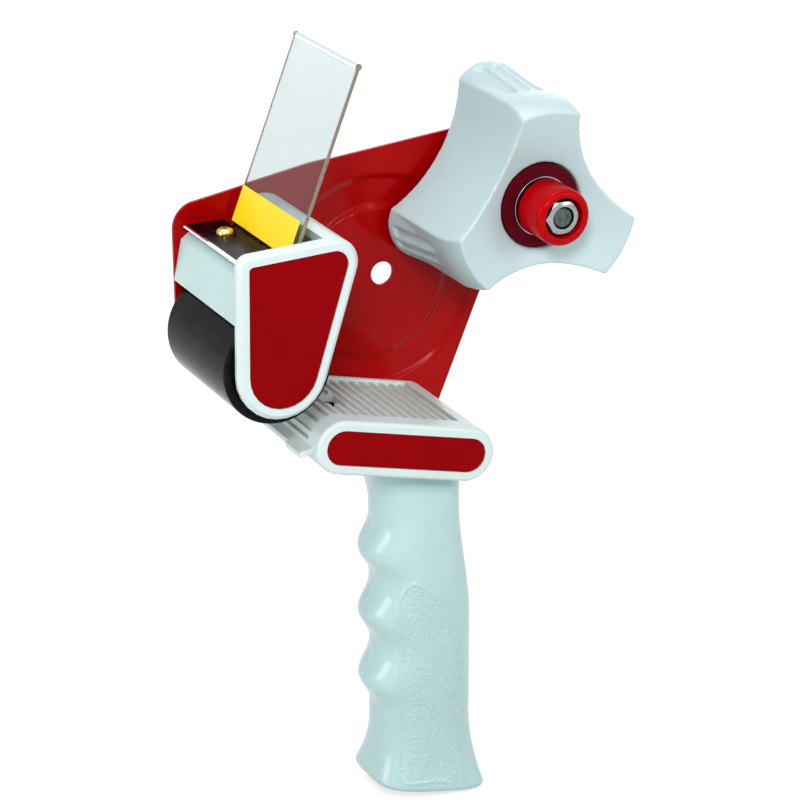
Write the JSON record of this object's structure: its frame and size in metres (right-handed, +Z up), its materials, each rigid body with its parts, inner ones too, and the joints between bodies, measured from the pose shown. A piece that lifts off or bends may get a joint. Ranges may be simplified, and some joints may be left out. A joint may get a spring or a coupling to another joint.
{
  "type": "handheld tape dispenser",
  "caption": "Pistol-grip packing tape dispenser with lobed core hub, tension knob, rubber roller, toothed blade and clear hinged flap.",
  "frame": {"origin": "centre of the grip's base face", "axes": "+Z up along the grip, +X to the rear, where the hub is, +Y to the side plate"},
  "size_m": [0.1598, 0.0751, 0.2839],
  "materials": {
    "grey_plastic": "satin moulded",
    "deck_plastic": "fine moulded",
    "red_plate": "gloss enamel",
    "red_panel": "satin",
    "red_knob": "satin moulded",
    "brake_lining": "matt",
    "zinc_steel": "bright zinc plate",
    "spring_steel": "drawn wire",
    "blade_steel": "polished",
    "brass": "bright",
    "clear_plastic": "clear moulded plastic",
    "yellow_film": "semi-gloss film",
    "black_plastic": "moulded",
    "black_rubber": "smooth moulded",
    "bush_nylon": "natural"
  },
  "bodies": {
    "frame": {"side_plate": "red_plate", "deck": "deck_plastic", "deck_panel": "red_panel", "deck_screws": "zinc_steel", "grip_near_shell": "grey_plastic", "grip_far_shell": "grey_plastic", "grip_screws": "zinc_steel", "grip_bolts": "zinc_steel", "grip_base_plug": "grey_plastic", "head_cover": "grey_plastic", "head_panel": "red_panel", "head_screws": "zinc_steel", "blade_holder": "grey_plastic", "blade": "blade_steel", "blade_screws": "brass", "flap_pin": "zinc_steel", "flap_spring": "spring_steel", "roller_axle": "zinc_steel", "roller_axle_nut": "zinc_steel", "hub_axle": "zinc_steel", "hub_axle_nut": "zinc_steel", "hub_washer": "bush_nylon", "brake_disc": "brake_lining", "thrust_washer": "zinc_steel", "brake_spring": "spring_steel"},
    "hub": {"hub": "grey_plastic", "hub_bushes": "bush_nylon"},
    "roller": {"roller_core": "black_plastic", "roller_tyre": "black_rubber", "roller_bushes": "bush_nylon"},
    "flap": {"flap": "clear_plastic", "flap_sticker": "yellow_film"},
    "brake_follower": {"spring_seat": "zinc_steel"},
    "knob": {"tension_knob": "red_knob", "knob_nut": "zinc_steel"}
  },
  "joints": [
    {"name": "hub_spin", "type": "hinge", "parent": "frame", "child": "hub", "pos_m": [0.037, 0, 0.2203], "axis": [0, 1, 0], "continuous": true},
    {"name": "roller_spin", "type": "hinge", "parent": "frame", "child": "roller", "pos_m": [-0.0654, 0, 0.1785], "axis": [0, 1, 0], "continuous": true},
    {"name": "flap_swing", "type": "hinge", "parent": "frame", "child": "flap", "pos_m": [-0.06285, 0, 0.2073], "axis": [0, 1, 0], "range_deg": [0, 15], "stiffness_Nm_per_rad": 0.05, "springref_deg": -28.65, "deforming": ["flap_spring"]},
    {"name": "brake_travel", "type": "slide", "parent": "frame", "child": "brake_follower", "axis": [0, 1, 0], "range_m": [-0.00187, 0.00093], "deforming": ["brake_spring"]},
    {"name": "knob_turn", "type": "hinge", "parent": "brake_follower", "child": "knob", "pos_m": [0.037, 0, 0.2203], "axis": [0, 1, 0], "range_deg": [-540, 270]}
  ],
  "couplings": [
    {"joint": "knob_turn", "follows": "brake_travel", "rad_per_m": 5026.5}
  ]
}
